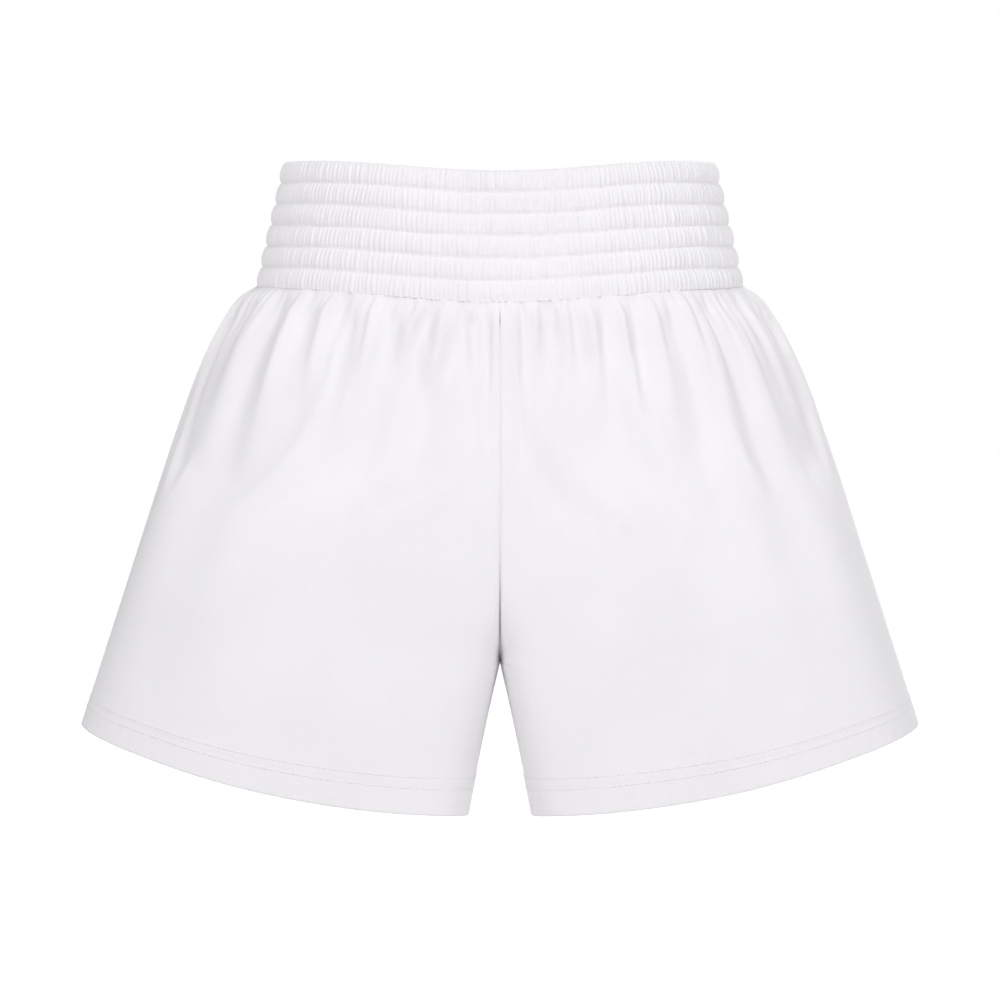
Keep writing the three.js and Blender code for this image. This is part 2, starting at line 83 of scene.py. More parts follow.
@dataclass(frozen=True)
class Form:
    """The garment's form when worn, in millimetres.

    It follows the frame's solids, but its crotch is 5 mm higher and its rise is fuller just above it.
    """

    waist_half_width: float = 131.3
    waist_half_depth: float = 93.0
    foot_half_width: float = 148.3
    foot_half_depth: float = 104.0
    rows: int = 6
    row_pitch: float = 12.7
    row_puff: float = 1.2
    side_drop: float = 265.5
    side_flare: float = 0.317
    side_line: float = 21.9
    shoulder: float = 15.0
    shoulder_reach: float = 26.0
    puff_reach: float = 3.2
    front_depths: tuple[float, float, float] = (107.0, 112.0, 99.0)
    back_depths: tuple[float, float, float] = (107.0, 124.0, 105.0)
    crotch_depth: float = 300.0
    hem_drop: float = 53.0
    hem_lift: float = 4.5
    inseam_spread: float = 19.0
    front_fullness: float = 11.0
    back_fullness: float = 6.0
    rise_turn: float = 0.26
    outer_roundness: float = 2.2
    inner_roundness: float = 9.0
    wall_share: float = 0.08

    @property
    def band_height(self) -> float:
        """The band's height."""
        return self.rows * self.row_pitch

    @property
    def crotch_level(self) -> float:
        """The level of the crotch, from 0 at the waist seam to 1 at the hem."""
        return (self.crotch_depth - self.band_height) / (self.side_drop + self.hem_drop)

    def dip(
        self, off: np.ndarray, y: np.ndarray, share: np.ndarray, base: Value, middle: float
    ) -> np.ndarray:
        """How far a level edge drops.

        Args:
            off: place across, from -1 to 1.
            y: place in depth, below 0 at the front.
            share: how much of the drop applies.
            base: the front's drop at its sides.
            middle: what the front's middle drops further.

        Returns:
            The drop in millimetres.
        """
        front = base + middle / 2 * (1 + np.cos(np.pi * np.minimum(1, np.abs(off))))
        return share * np.where(y < 0, front, 3.0)

    def band_points(self, angle: np.ndarray, depth: np.ndarray, inward: np.ndarray) -> np.ndarray:
        """Points of the waistband.

        Args:
            angle: round the band, from the wearer's left towards the back.
            depth: down the band from its top edge.
            inward: into the wearer from the crest of the rows.

        Returns:
            The points, one row of three for each.
        """
        t = depth / self.band_height
        a = lerp(self.waist_half_width, self.foot_half_width, t)
        b = lerp(self.waist_half_depth, self.foot_half_depth, t)
        x, y = a * np.cos(angle), b * np.sin(angle)
        middle_a = (self.waist_half_width + self.foot_half_width) / 2
        middle_b = (self.waist_half_depth + self.foot_half_depth) / 2
        normal = unit(np.stack([np.cos(angle) / middle_a, np.sin(angle) / middle_b], -1))
        drop = self.dip(np.cos(angle), y, np.abs(np.sin(angle)), lerp(7.0, 8.5, t), 7.0)
        return np.stack([x - inward * normal[..., 0], y - inward * normal[..., 1], -depth - drop], -1)

    def side_half_width(self, level: np.ndarray) -> np.ndarray:
        """How far the side of a leg lies from the middle.

        Args:
            level: from 0 at the waist seam to 1 at the hem.

        Returns:
            The distance in millimetres.
        """
        depth = level * self.side_drop
        start = self.foot_half_width - self.row_puff
        puff = self.foot_half_width + self.side_line - self.shoulder - start
        line = self.foot_half_width + self.side_line + self.side_flare * depth
        line = line - self.shoulder * np.exp(-depth / self.shoulder_reach)
        return line - puff * np.exp(-depth / self.puff_reach)

    def half_depth(self, level: np.ndarray, front: bool) -> np.ndarray:
        """How far the front or back of a leg lies from the middle.

        Args:
            level: from 0 at the waist seam to 1 at the hem.
            front: whether it is the front.

        Returns:
            The distance in millimetres.
        """
        a, b, c = self.front_depths if front else self.back_depths
        value = a * (1 - level) * (1 - 2 * level) + 4 * b * level * (1 - level)
        value = value + c * level * (2 * level - 1)
        puff = a - self.foot_half_depth + self.row_puff
        return value - puff * np.exp(-level * self.side_drop / self.puff_reach)

    def rise_share(self, level: np.ndarray, front: bool) -> np.ndarray:
        """How far out the centre seam lies.

        Args:
            level: from 0 at the waist seam to 1 at the hem.
            front: whether it is the front.

        Returns:
            Its distance as a share of the half depth.
        """
        share = np.minimum(1, level / self.crotch_level)
        fullness = self.front_fullness if front else self.back_fullness
        return np.maximum(0, 1 - share**fullness) ** self.rise_turn

    def leg_points(self, level: np.ndarray, from_side: np.ndarray, front: bool) -> np.ndarray:
        """Points of the wearer's left leg.

        Args:
            level: from 0 at the waist seam to 1 at the hem, one for each point.
            from_side: 0 at the side seam and 1 at the centre seam or inseam.
            front: whether the points are on the front.

        Returns:
            The points, one row of three for each.
        """
        shape = np.broadcast(level, from_side).shape
        level = np.broadcast_to(level, shape).ravel().astype(float)[:, None]
        t = np.broadcast_to(from_side, shape).ravel().astype(float)
        outer, depth = self.side_half_width(level), self.half_depth(level, front)
        share = np.minimum(1, level / self.crotch_level)
        below = np.maximum(0, level - self.crotch_level) / (1 - self.crotch_level)
        inner = self.inseam_spread * below * (1.12 - 0.12 * below)
        centre = (outer + inner) / 2 * smoothstep(share)
        start = np.arccos(self.rise_share(level, front) ** (self.inner_roundness / 2))
        root = np.maximum(1e-6, np.sin(start)) ** (2 / self.inner_roundness)
        reach = np.where(share < 1, centre / root, centre - inner)
        k = np.linspace(0, 1, 121)[None, :]
        angle = start * (1 - k[:, :-1]) ** 2
        x_in = centre - reach * np.sin(angle) ** (2 / self.inner_roundness)
        y_in = depth * np.cos(angle) ** (2 / self.inner_roundness)
        angle = np.pi / 2 * k
        # The waist seam is an ellipse, and the legs soon grow squarer.
        power = 2 / (2 + (self.outer_roundness - 2) * (1 - np.exp(-level * self.side_drop / 14)))
        x_out = centre + (outer - centre) * np.sin(angle) ** power
        y_out = depth * np.maximum(0, np.cos(angle)) ** power
        x, y = np.hstack([x_in, x_out]), np.hstack([y_in, y_out + 0 * x_out])
        along = np.cumsum(np.hypot(np.diff(x, axis=1), np.diff(y, axis=1)), axis=1)
        along = np.hstack([np.zeros((len(x), 1)), along])
        total = along[:, -1]
        turned_in = np.minimum(total / 2, depth[:, 0] - y[:, 0])
        # The last columns always cover the cloth that turns in to the seam, so none crosses the corner.
        corner = lerp((total - turned_in) * self.wall_share, 3.0, smoothstep(share[:, 0] / 0.85))
        turned_in = turned_in + corner
        wall = turned_in * (1 - t) / self.wall_share
        face = turned_in + (total - turned_in) * (1 - self.wall_share - t) / (1 - self.wall_share)
        target = np.where(t > 1 - self.wall_share, wall, face)
        i = np.clip((along < target[:, None]).sum(1), 1, along.shape[1] - 1)
        n = np.arange(len(i))
        f = (target - along[n, i - 1]) / np.maximum(1e-9, along[n, i] - along[n, i - 1])
        px = np.maximum(0.02, lerp(x[n, i - 1], x[n, i], f))
        py = np.maximum(0.02, lerp(y[n, i - 1], y[n, i], f)) * (-1 if front else 1)
        level, depth, outer, inner = level[:, 0], depth[:, 0], outer[:, 0], inner[:, 0]
        across = np.minimum(1, (outer - px) / (outer - inner))
        out = np.minimum(1, np.abs(py) / depth)
        at_seam = self.dip(px / self.foot_half_width, py, out, 8.5, 7.0)
        at_hem = self.hem_drop * across * (2 - across) - self.hem_lift * out**2
        pz = -self.band_height - self.side_drop * level - (1 - level) * at_seam - level * at_hem
        return np.stack([px, py, pz], -1).reshape(*shape, 3)


FORM = Form()


# ---- Meshes and nodes --------------------------------------------------------------------------


def make_piece(name: str, points: np.ndarray, faces: list, uvs: np.ndarray | None = None) -> bpy.types.Object:
    """Makes a smooth mesh object, placed in its mesh.

    Args:
        name: the piece's name.
        points: its vertices in millimetres, one row of three for each.
        faces: vertex numbers of each face, counterclockwise from outside.
        uvs: the vertices' places on the flat cloth in millimetres, for the material's pattern.

    Returns:
        The new object.
    """
    mesh = bpy.data.meshes.new(name)
    mesh.from_pydata((points.reshape(-1, 3) * MM).tolist(), [], faces)
    mesh.polygons.foreach_set("use_smooth", [True] * len(mesh.polygons))
    if uvs is not None:
        index = np.empty(len(mesh.loops), dtype=np.int32)
        mesh.loops.foreach_get("vertex_index", index)
        layer = mesh.uv_layers.new(name="cloth_mm")
        layer.data.foreach_set("uv", uvs.reshape(-1, 2)[index].ravel())
    mesh.update()
    piece = bpy.data.objects.new(name, mesh)
    bpy.context.collection.objects.link(piece)
    return piece


def grid_faces(rows: int, columns: int, flip: bool = False, round_it: bool = False) -> list:
    """Quads of a grid whose columns run to the right as seen from outside.

    Args:
        rows: how many rows of points.
        columns: how many points in each row.
        flip: whether the columns run to the left instead.
        round_it: whether the last column joins the first.

    Returns:
        The quads' vertex numbers.
    """
    r, c = np.meshgrid(np.arange(rows - 1), np.arange(columns if round_it else columns - 1), indexing="ij")
    n = (c + 1) % columns
    quads = np.stack([r * columns + c, (r + 1) * columns + c, (r + 1) * columns + n, r * columns + n], -1)
    quads = quads.reshape(-1, 4)
    return (quads[:, ::-1] if flip else quads).tolist()


def grid_normals(points: np.ndarray, flip: bool = False) -> np.ndarray:
    """The outward normals of a grid of points, as grid_faces turns it.

    Args:
        points: rows by columns of points.
        flip: whether the columns run to the left as seen from outside.

    Returns:
        The normals, one for each point.
    """
    normal = np.cross(np.gradient(points, axis=0), np.gradient(points, axis=1))
    return unit(-normal if flip else normal)


def thicken(piece: bpy.types.Object, thickness: float) -> None:
    """Gives a sheet its thickness, inwards.

    Args:
        piece: the sheet.
        thickness: in millimetres.
    """
    solid = piece.modifiers.new("thickness", "SOLIDIFY")
    solid.thickness = thickness * MM
    solid.offset = -1
    solid.use_even_offset = False


def add_node(
    tree: bpy.types.NodeTree, kind: str, settings: dict | None = None, **links: bpy.types.NodeSocket
) -> bpy.types.Node:
    """Adds a shader node.

    Args:
        tree: the material's node tree.
        kind: the node's type name.
        settings: values of its properties or, failing that, of its inputs.
        **links: output sockets to link, by input name with spaces as underscores, or _0 and so on.

    Returns:
        The new node.
    """
    node = tree.nodes.new(kind)
    for key, value in (settings or {}).items():
        if hasattr(node, key):
            setattr(node, key, value)
        else:
            node.inputs[key].default_value = value
    for key, output in links.items():
        socket = node.inputs[int(key[1:])] if key[0] == "_" else node.inputs[key.replace("_", " ")]
        tree.links.new(output, socket)
    return node


class Weave(Enum):
    """How a material's thread pattern is laid out."""

    JERSEY = "jersey"
    WEBBING = "webbing"
    OVERLOCK = "overlock"
    TWIST = "twist"
    SATIN = "satin"


@dataclass(frozen=True)
class Finish:
    """A textile finish: its colours, gloss and thread pattern."""

    name: str
    slot: str
    colour: str
    shade: str
    weave: Weave
    pitch_mm: float
    relief: float
    roughness: float
    sheen: float
    specular: float

    def make(self) -> bpy.types.Material:
        """Returns the finish's material, with its pattern on the cloth's own flat coordinates."""
        material = bpy.data.materials.new(self.name)
        material.use_nodes = True
        tree = material.node_tree
        tree.nodes.clear()
        cloth = add_node(tree, "ShaderNodeUVMap", {"uv_map": "cloth_mm"}).outputs[0]
        place = add_node(tree, "ShaderNodeTexCoord").outputs["Object"]
        cloud = add_node(tree, "ShaderNodeTexNoise", {"Scale": 22.0, "Detail": 3.0}, Vector=place)
        stops = {"From Min": 0.3, "From Max": 0.7, "To Min": 0.0, "To Max": 1.0}
        tone = add_node(tree, "ShaderNodeMapRange", stops, Value=cloud.outputs["Fac"]).outputs[0]
        colours = {"data_type": "RGBA"}
        mix = add_node(tree, "ShaderNodeMix", colours, _0=tone)
        mix.inputs[6].default_value = hex_to_linear(self.shade)
        mix.inputs[7].default_value = hex_to_linear(self.colour)
        height = self.pattern(tree, cloth)
        bump = add_node(
            tree, "ShaderNodeBump", {"Strength": self.relief, "Distance": 0.0002}, Height=height
        )
        shader = add_node(
            tree,
            "ShaderNodeBsdfPrincipled",
            {
                "Roughness": self.roughness,
                "Sheen Weight": self.sheen,
                "Sheen Roughness": 0.5,
                "Specular IOR Level": self.specular,
            },
            Base_Color=mix.outputs[2],
            Normal=bump.outputs[0],
        )
        add_node(tree, "ShaderNodeOutputMaterial", Surface=shader.outputs[0])
        return material

    def pattern(self, tree: bpy.types.NodeTree, cloth: bpy.types.NodeSocket) -> bpy.types.NodeSocket:
        """Adds the thread pattern.

        Args:
            tree: the material's node tree.
            cloth: the socket of the flat coordinates, in millimetres.

        Returns:
            The socket of the pattern's height.
        """
        # A wave texture's period is 2 pi / 20 at a scale of 1.
        scale = math.pi / 10 / self.pitch_mm
        wave = {"bands_direction": "X", "Scale": scale, "Distortion": 0.6, "Detail": 1.0}
        across = add_node(tree, "ShaderNodeTexWave", wave, Vector=cloth).outputs["Fac"]
        if self.weave is Weave.SATIN:
            return across
        turn = {Weave.JERSEY: 90, Weave.WEBBING: 90, Weave.OVERLOCK: 35, Weave.TWIST: 55}[self.weave]
        spin = {"vector_type": "TEXTURE"}
        turned = add_node(tree, "ShaderNodeMapping", spin, Vector=cloth)
        turned.inputs["Rotation"].default_value = (0, 0, math.radians(turn))
        wave = {"bands_direction": "X", "Scale": scale * 1.3, "Distortion": 0.6, "Detail": 1.0}
        along = add_node(tree, "ShaderNodeTexWave", wave, Vector=turned.outputs[0]).outputs["Fac"]
        both = add_node(tree, "ShaderNodeMath", {"operation": "MULTIPLY"}, _0=across, _1=along)
        return both.outputs[0]


# White polyester interlock, knitted and piece dyed: matt, soft, with the faintest lilac brightener.
# Its loops are about 0.6 mm apart, drawn at 1.3 mm so that they show.
SHELL_KNIT = Finish(
    "white_interlock_knit", "shell_knit", "f2f0f3", "efedf0", Weave.JERSEY, 1.3, 0.12, 0.82, 0.12, 0.25
)
# The knit's reverse, flatter and a touch greyer.
FACING_KNIT = Finish(
    "interlock_reverse", "facing_knit", "eeecef", "e8e6ea", Weave.JERSEY, 1.3, 0.16, 0.88, 0.1, 0.2
)
# Three-thread overlocking over a raw edge: slanting loops about 2.2 mm apart.
OVERLOCK = Finish(
    "overlocked_edge", "facing_knit", "efedf0", "dedce0", Weave.OVERLOCK, 2.2, 0.7, 0.75, 0.15, 0.3
)
# Woven elastic webbing: rubber cords wrapped in polyester, ribs about 1.2 mm apart.
WEBBING = Finish(
    "woven_elastic", "elastic_webbing", "eae8e6", "d9d7d4", Weave.WEBBING, 1.2, 0.8, 0.7, 0.1, 0.3
)
# Spun polyester sewing thread, two plies twisted, slightly glossier than the cloth.
THREAD = Finish(
    "sewing_thread", "thread", "f3f1f4", "e9e7eb", Weave.TWIST, 0.5, 0.5, 0.5, 0.2, 0.45
)
# Polyester satin ribbon, calendered: it has a soft streak of gloss along the warp.
SATIN = Finish(
    "satin_ribbon", "label_satin", "f4f4f4", "eaeaea", Weave.SATIN, 0.6, 0.2, 0.38, 0.05, 0.5
)


class Wardrobe:
    """Makes each finish's material once and dresses pieces in it."""

    def __init__(self) -> None:
        """Starts with no materials."""
        self.made: dict[str, bpy.types.Material] = {}

    def dress(self, piece: bpy.types.Object, finish: Finish) -> bpy.types.Object:
        """Gives a piece its material and its body.

        Args:
            piece: the new piece.
            finish: what it is made of.

        Returns:
            The piece.
        """
        if finish.name not in self.made:
            self.made[finish.name] = finish.make()
        piece.data.materials.clear()
        piece.data.materials.append(self.made[finish.name])
        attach(piece, "root")
        LOG.info("%s: %d faces, %s", piece.name, len(piece.data.polygons), finish.name)
        return piece


# ---- Stitches ----------------------------------------------------------------------------------


@dataclass(frozen=True)
class Stitching:
    """A row of lockstitches: short capsules of thread laid end to end along a line."""

    length: float = 2.6
    gap: float = 0.7
    radius: float = 0.28
    sunk: float = 0.1

    def template(self) -> tuple[np.ndarray, list]:
        """Shapes one stitch, lying along X with its face up Z.

        Returns:
            Its vertices and its faces.
        """
        bpy.ops.object.select_all(action="DESELECT")
        bpy.ops.mesh.primitive_uv_sphere_add(segments=6, ring_count=5, radius=1)
        stitch = bpy.context.object
        bpy.ops.object.mode_set(mode="EDIT")
        bpy.ops.mesh.select_all(action="SELECT")
        bpy.ops.transform.rotate(value=math.pi / 2, orient_axis="Y", center_override=(0, 0, 0))
        bpy.ops.transform.resize(value=(self.length / 2, self.radius, self.radius))
        bpy.ops.object.mode_set(mode="OBJECT")
        points = np.array([v.co for v in stitch.data.vertices])
        faces = [list(p.vertices) for p in stitch.data.polygons]
        mesh = stitch.data
        bpy.data.objects.remove(stitch)
        bpy.data.meshes.remove(mesh)
        return points, faces

    def sew(self, name: str, line: np.ndarray, normals: np.ndarray) -> bpy.types.Object:
        """Lays stitches along a closed line.

        Args:
            name: the piece's name.
            line: the line's points in millimetres, the last joined to the first.
            normals: the cloth's outward normal at each point.

        Returns:
            The row of stitches as one piece.
        """
        points, faces = self.template()
        ring, lean = np.vstack([line, line[:1]]), np.vstack([normals, normals[:1]])
        along = np.r_[0, np.cumsum(np.linalg.norm(np.diff(ring, axis=0), axis=1))]
        count = int(along[-1] / (self.length + self.gap))
        where = (np.arange(count) + 0.5) * along[-1] / count
        half = self.length / 2

        def at(values: np.ndarray, s: np.ndarray) -> np.ndarray:
            """Returns the values at distances along the line."""
            s = s % along[-1]
            return np.stack([np.interp(s, along, values[:, k]) for k in range(3)], -1)

        ahead = unit(at(ring, where + half) - at(ring, where - half))
        up = at(lean, where)
        up = unit(up - ahead * (up * ahead).sum(1, keepdims=True))
        side = np.cross(up, ahead)
        centre = (at(ring, where + half) + at(ring, where - half)) / 2 + up * (self.radius - self.sunk)
        copies = (
            centre[:, None]
            + points[None, :, :1] * ahead[:, None]
            + points[None, :, 1:2] * side[:, None]
            + points[None, :, 2:] * up[:, None]
        )
        numbers = [[i + n * len(points) for i in face] for n in range(count) for face in faces]
        uvs = np.broadcast_to(points[None, :, :2], (count, len(points), 2)).copy()
        return make_piece(name, copies, numbers, uvs)


# ---- Waistband ---------------------------------------------------------------------------------


@dataclass
class Waistband:
    """The shirred band: a casing folded over the top and stitched into six channels of elastic."""

    wardrobe: Wardrobe
    columns: int = 1500
    row_steps: int = 11
    gather_pitch: tuple[float, float] = (2.0, 3.7)
    gather_depth: float = 1.15
    seam_pinch: float = 0.45
    lining_from: float = 4.4
    lining: float = 1.0
    cloth: float = 1.2
    elastic_height: float = 8.0
    elastic_thickness: float = 1.4
    elastic_inward: float = 2.7
    casing_cut: tuple[float, float] = (0.45, 0.165)
    seed: int = 41

    def perimeter(self) -> float:
        """Returns the length round the middle of the band."""
        angle = np.linspace(0, 2 * np.pi, 721)
        ring = FORM.band_points(angle, np.full(721, FORM.band_height / 2), np.zeros(721))
        return float(np.linalg.norm(np.diff(ring, axis=0), axis=1).sum())

    def angles(self) -> np.ndarray:
        """Returns angles evenly spaced along the band, from the wearer's right round the front."""
        fine = np.linspace(-np.pi, np.pi, 7201)
        ring = FORM.band_points(fine, np.full(7201, FORM.band_height / 2), np.zeros(7201))
        along = np.r_[0, np.cumsum(np.linalg.norm(np.diff(ring, axis=0), axis=1))]
        return np.interp(np.linspace(0, along[-1], self.columns + 1), along, fine)

    def gathers(self, along: np.ndarray, down: np.ndarray, rng: np.random.Generator) -> np.ndarray:
        """The relief of one row's fine vertical gathers.

        Args:
            along: distance round the band of each column, in millimetres.
            down: place in the row of each line of points, from 0 to 1.
            rng: the seeded source of irregularity.

        Returns:
            Heights from 0 in the valleys to about 1 on the ridges, lines by columns.
        """
        total = along[-1]
        steps = rng.uniform(*self.gather_pitch, size=int(total / self.gather_pitch[0]))
        steps = steps[: int(np.searchsorted(np.cumsum(steps), total))]
        valleys = np.r_[0, np.cumsum(steps) * total / steps.sum()]
        heights = rng.uniform(0.65, 1.05, size=len(steps)) * np.clip(steps / np.mean(steps), 0.6, 1.15)
        waves = rng.normal(0, 1, size=(4, 5))
        turn = along / total * 2 * np.pi
        lean = sum(
            w[0] * np.sin((3 + 4 * i) * turn + w[1]) + w[2] * np.sin((6 + 7 * i) * turn + w[3])
            for i, w in enumerate(waves)
        )
        relief = np.empty((len(down), len(along)))
        for i, v in enumerate(down):
            s = (along + lean * 0.14 * (v - 0.5) * 2 + 0.08 * np.sin(7 * v + turn * 31)) % total
            n = np.clip(np.searchsorted(valleys, s, side="right") - 1, 0, len(steps) - 1)
            f = (s - valleys[n]) / steps[n] * (steps.sum() / total)
            f = np.clip(f, 0, 1)
            relief[i] = heights[n] * (1 - np.abs(2 * f - 1) ** 2.8)
        return relief

    def outer_wall(self) -> tuple[np.ndarray, np.ndarray]:
        """The gathered outer wall of the six rows.

        Returns:
            Its depths and its inward offsets, lines by columns.
        """
        rng = np.random.default_rng(self.seed)
        along = np.linspace(0, self.perimeter(), self.columns + 1)
        down = np.linspace(0, 1, self.row_steps + 1)
        puff = np.sin(np.pi * down) ** 0.55
        lump = 1 + 0.05 * np.sin(along / 23 + 1) + 0.05 * np.sin(along / 9.5)
        depths, offsets = [], []
        for row in range(FORM.rows):
            relief = self.gathers(along, down, rng)
            hold = lerp(self.seam_pinch, 1.0, np.sin(np.pi * down) ** 0.8)[:, None]
            full = np.maximum(puff, 0.6 * smoothstep(down * 2 - 1)) if row == FORM.rows - 1 else puff
            height = FORM.row_puff * 1.4 * full[:, None] * lump + self.gather_depth * hold * (relief - 0.55)
            wander = 0.35 * np.sin(along / 31 + row * 2.1) + 0.2 * np.sin(along / 12 + row)
            edge = np.sin(np.pi * (row + down) / FORM.rows)[:, None]
            first = 0 if row == 0 else 1
            depths.append(((row + down)[:, None] * FORM.row_pitch + wander * edge)[first:])
            offsets.append((FORM.row_puff * 1.1 - height)[first:])
        return np.vstack(depths), np.vstack(offsets)

    def casing_grid(self) -> tuple[np.ndarray, np.ndarray]:
        """The casing's closed section, carried round the band.

        Returns:
            Its points and its flat coordinates.
        """
        depth, inward = self.outer_wall()
        total = self.perimeter()
        along = np.linspace(0, total, self.columns + 1)
        back = self.lining_from + self.lining
        turns = np.linspace(np.pi, 0, 10)[1:-1]
        fold_top = 2.2
        crest = inward[2].mean()
        scallop = inward[2] - crest
        fold_depth = [np.full_like(along, fold_top * (1 - math.sin(a))) + 0.3 * scallop for a in turns]
        fold_in = [lerp(back, crest, (1 + math.cos(a)) / 2) + scallop * max(0.0, math.cos(a)) for a in turns]
        rng = np.random.default_rng(self.seed + 7)
        inner_rows = np.linspace(0, FORM.band_height, 31)
        puffs = 0.45 * np.abs(np.sin(np.linspace(0, np.pi * FORM.rows, 31)))
        ripple = self.gathers(along, np.linspace(0, 1, 31), rng)
        inner_depth = [np.full_like(along, max(d, fold_top)) for d in inner_rows]
        inner_in = [back + puffs[i] - 0.5 * ripple[i] for i in range(31)]
        depth = np.maximum(depth, fold_top * 0.95)
        depth[1] += 0.1
        inward[:2] = inward[2]
        bottom = FORM.band_height * np.ones_like(along)
        channel_top = 2.05
        wall = FORM.row_puff + self.cloth
        lines = [*zip(depth, inward)]
        lines += [(bottom, wall + 0 * along), (channel_top + 0 * along, wall + 0 * along)]
        lines += [(channel_top + 0 * along, self.lining_from + 0 * along)]
        lines += [(bottom, self.lining_from + 0 * along)]
        lines += [*zip(inner_depth[::-1], inner_in[::-1])]
        lines += [*zip(fold_depth, fold_in)]
        angle = np.broadcast_to(self.angles(), (len(lines), self.columns + 1))
        points = FORM.band_points(angle, np.array([d for d, _ in lines]), np.array([i for _, i in lines]))
        walk = np.r_[0, np.cumsum(np.linalg.norm(np.diff(points[:, 0], axis=0), axis=1))]
        uvs = np.stack(np.broadcast_arrays(along[None, :] * 1.25, walk[:, None]), -1)
        return points, uvs

    def build_casing(self) -> None:
        """Makes the front and the back half of the casing."""
        points, uvs = self.casing_grid()
        half = self.columns // 2
        for name, part in (("front", slice(0, half + 1)), ("back", slice(half, None))):
            grid, flat = points[:, part], uvs[:, part]
            rows, columns = grid.shape[:2]
            faces = grid_faces(rows, columns)
            last = (rows - 1) * columns
            faces += [[last + c, c, c + 1, last + c + 1] for c in range(columns - 1)]
            ends = np.arange(rows) * columns
            faces += [ends.tolist(), (ends + columns - 1)[::-1].tolist()]
            piece = make_piece(f"shirred_casing_{name}", grid, faces, flat)
            self.wardrobe.dress(piece, SHELL_KNIT)
            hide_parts(f"waistband_{name}_casing")

    def ring(
        self, name: str, section: list[tuple[float, float]], steps: int, ripple: float
    ) -> bpy.types.Object:
        """Makes a band that runs all round inside the casing.

        Args:
            name: the piece's name.
            section: its outline as (depth, inward) corners in millimetres, outer face first.
            steps: how many stations round it has.
            ripple: the height of its small waves.

        Returns:
            The new piece.
        """
        angle = np.linspace(-np.pi, np.pi, steps, endpoint=False)
        along = (angle + np.pi) / (2 * np.pi) * self.perimeter()
        wave = ripple * (np.sin(along / 1.7) + 0.5 * np.sin(along / 2.9 + 1))
        depth = np.array([d + 0 * angle for d, _ in section])
        inward = np.array([i + wave for _, i in section])
        points = FORM.band_points(np.broadcast_to(angle, depth.shape), depth, inward)
        faces = grid_faces(len(section), steps, round_it=True)
        last = (len(section) - 1) * steps
        faces += [[last + c, c, (c + 1) % steps, last + (c + 1) % steps] for c in range(steps)]
        corners = np.array(section)
        walk = np.r_[0, np.cumsum(np.linalg.norm(np.diff(corners, axis=0), axis=1))]
        uvs = np.stack(np.broadcast_arrays(along[None, :], walk[:, None]), -1)
        return make_piece(name, points, faces, uvs)

    def strip_section(self, top: float, height: float, inward: float, thick: float) -> list:
        """A flat strip's outline, with softened edges and ribbed faces.

        Args:
            top: the depth of its upper edge.
            height: its height.
            inward: how far in its outer face lies.
            thick: its thickness.

        Returns:
            Its (depth, inward) corners, all in millimetres.
        """
        r, rib, ribs = thick / 2, 0.12, 9
        outline = []

        def turn(depth: float, start: float, stop: float) -> None:
            """Adds a rounded edge about a depth, between two angles in degrees."""
            for a in np.linspace(start, stop, 4):
                down, turned = r * math.cos(math.radians(a)), r * math.sin(math.radians(a))
                outline.append((depth + down, inward + r + turned))

        for k in range(ribs):
            outline.append((top + r + (height - 2 * r) * k / (ribs - 1), inward + rib * (k % 2)))
        turn(top + height - r, -60, 60)
        for k in range(ribs):
            depth = top + height - r - (height - 2 * r) * k / (ribs - 1)
            outline.append((depth, inward + thick - rib * (k % 2)))
        turn(top + r, 120, 240)
        return outline

    def build_elastics(self) -> None:
        """Makes the six woven elastics."""
        for row in range(FORM.rows):
            top = (row + 0.5) * FORM.row_pitch - self.elastic_height / 2
            section = self.strip_section(
                top, self.elastic_height, self.elastic_inward, self.elastic_thickness
            )
            piece = self.ring(f"elastic_row_{row + 1}", section, 360, 0.04)
            self.wardrobe.dress(piece, WEBBING)
            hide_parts(f"elastic_{row + 1}")

    def build_stitches(self) -> None:
        """Makes the five rows of stitches between the channels."""
        depth, inward = self.outer_wall()
        angle = self.angles()
        sewing = Stitching(length=2.3, gap=0.9, radius=0.24, sunk=0.15)
        for row in range(1, FORM.rows):
            line = row * self.row_steps
            points = FORM.band_points(angle, depth[line], inward[line] + 0.1)[:-1]
            outer = FORM.band_points(angle, depth[line], inward[line] - 1)[:-1]
            piece = sewing.sew(f"channel_stitching_{row}", points, unit(outer - points))
            self.wardrobe.dress(piece, THREAD)
            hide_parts(f"channel_stitch_{row}")

    def build_seam(self) -> None:
        """Makes the overlocked edge of the seam to the legs, inside."""
        section = self.strip_section(FORM.band_height + 0.3, 8.0, 3.8, 1.2)
        piece = self.ring("waist_seam_overlock", section, 480, 0.1)
        self.wardrobe.dress(piece, OVERLOCK)
        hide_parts("waist_seam_allowance")

    def build_label(self) -> None:
        """Makes the blank label inside the back of the band, from a plane that is cut and curved."""
        half_width, half_height, middle = 25, 10, 15
        half = half_width / FORM.waist_half_width
        bpy.ops.object.select_all(action="DESELECT")
        bpy.ops.mesh.primitive_grid_add(x_subdivisions=40, y_subdivisions=16, size=2)
        source = bpy.context.object
        flat = np.array([v.co for v in source.data.vertices])
        faces = [list(p.vertices) for p in source.data.polygons]
        mesh = source.data
        bpy.data.objects.remove(source)
        bpy.data.meshes.remove(mesh)
        angle = np.pi / 2 - flat[:, 0] * half
        curl = 0.35 * np.abs(flat[:, 1]) ** 6 + 0.12 * np.sin(flat[:, 0] * 9)
        points = FORM.band_points(angle, middle - flat[:, 1] * half_height, 5.95 + curl * 0.6)
        uvs = flat[:, :2] * np.array([half_width, half_height])
        piece = make_piece("waist_label_blank", points, faces, uvs)
        thicken(piece, 0.3)
        self.wardrobe.dress(piece, SATIN)
        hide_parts("waist_label")

